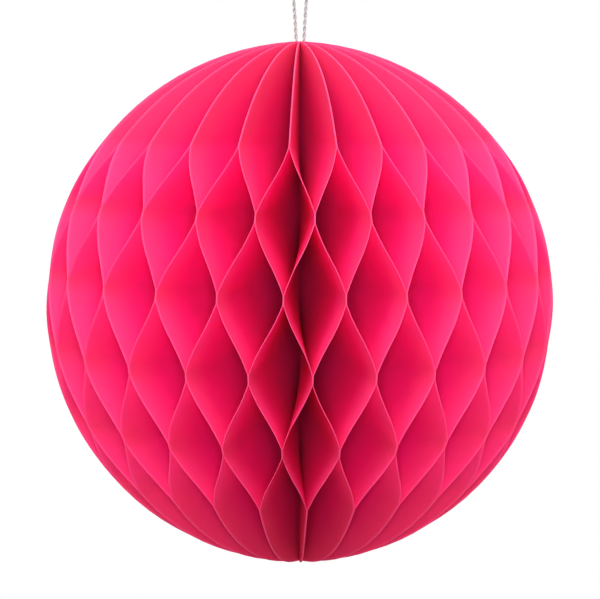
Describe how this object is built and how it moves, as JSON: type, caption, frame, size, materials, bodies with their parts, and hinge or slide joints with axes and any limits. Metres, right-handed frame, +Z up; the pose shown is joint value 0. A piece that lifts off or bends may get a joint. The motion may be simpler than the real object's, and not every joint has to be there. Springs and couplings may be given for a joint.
{
  "type": "honeycomb paper ball",
  "caption": "Hanging round decoration of half-disc paper leaves set round an upright spine and glued in alternating rows, so that they open into diamond cells, with a string loop at the top",
  "frame": {"origin": "the middle of the ball, on the spine's axis", "axes": "+Z up along the spine to the string, -Y to the front that the picture shows, +X to the right in the picture"},
  "size_m": [0.1962, 0.1962, 0.2413],
  "materials": {
    "leaf_paper": "matte",
    "cover_card": "matte",
    "closing_tape": "satin",
    "string": "matte"
  },
  "bodies": {
    "root": {"leaf_01": "leaf_paper", "leaf_02": "leaf_paper", "leaf_03": "leaf_paper", "leaf_04": "leaf_paper", "leaf_05": "leaf_paper", "leaf_06": "leaf_paper", "leaf_07": "leaf_paper", "leaf_08": "leaf_paper", "leaf_09": "leaf_paper", "leaf_10": "leaf_paper", "leaf_11": "leaf_paper", "leaf_12": "leaf_paper", "leaf_13": "leaf_paper", "leaf_14": "leaf_paper", "leaf_15": "leaf_paper", "leaf_16": "leaf_paper", "leaf_17": "leaf_paper", "leaf_18": "leaf_paper", "leaf_19": "leaf_paper", "leaf_20": "leaf_paper", "leaf_21": "leaf_paper", "leaf_22": "leaf_paper", "leaf_23": "leaf_paper", "leaf_24": "leaf_paper", "leaf_25": "leaf_paper", "leaf_26": "leaf_paper", "leaf_27": "leaf_paper", "leaf_28": "leaf_paper", "leaf_29": "leaf_paper", "leaf_30": "leaf_paper", "leaf_31": "leaf_paper", "leaf_32": "leaf_paper", "leaf_33": "leaf_paper", "leaf_34": "leaf_paper", "leaf_35": "leaf_paper", "leaf_36": "leaf_paper", "leaf_37": "leaf_paper", "leaf_38": "leaf_paper", "leaf_39": "leaf_paper", "leaf_40": "leaf_paper", "leaf_41": "leaf_paper", "leaf_42": "leaf_paper", "leaf_43": "leaf_paper", "leaf_44": "leaf_paper", "leaf_45": "leaf_paper", "leaf_46": "leaf_paper", "leaf_47": "leaf_paper", "leaf_48": "leaf_paper", "leaf_49": "leaf_paper", "leaf_50": "leaf_paper", "cover_left": "cover_card", "cover_right": "cover_card", "closing_tape_upper": "closing_tape", "closing_tape_lower": "closing_tape", "hanging_string": "string"}
  },
  "joints": []
}
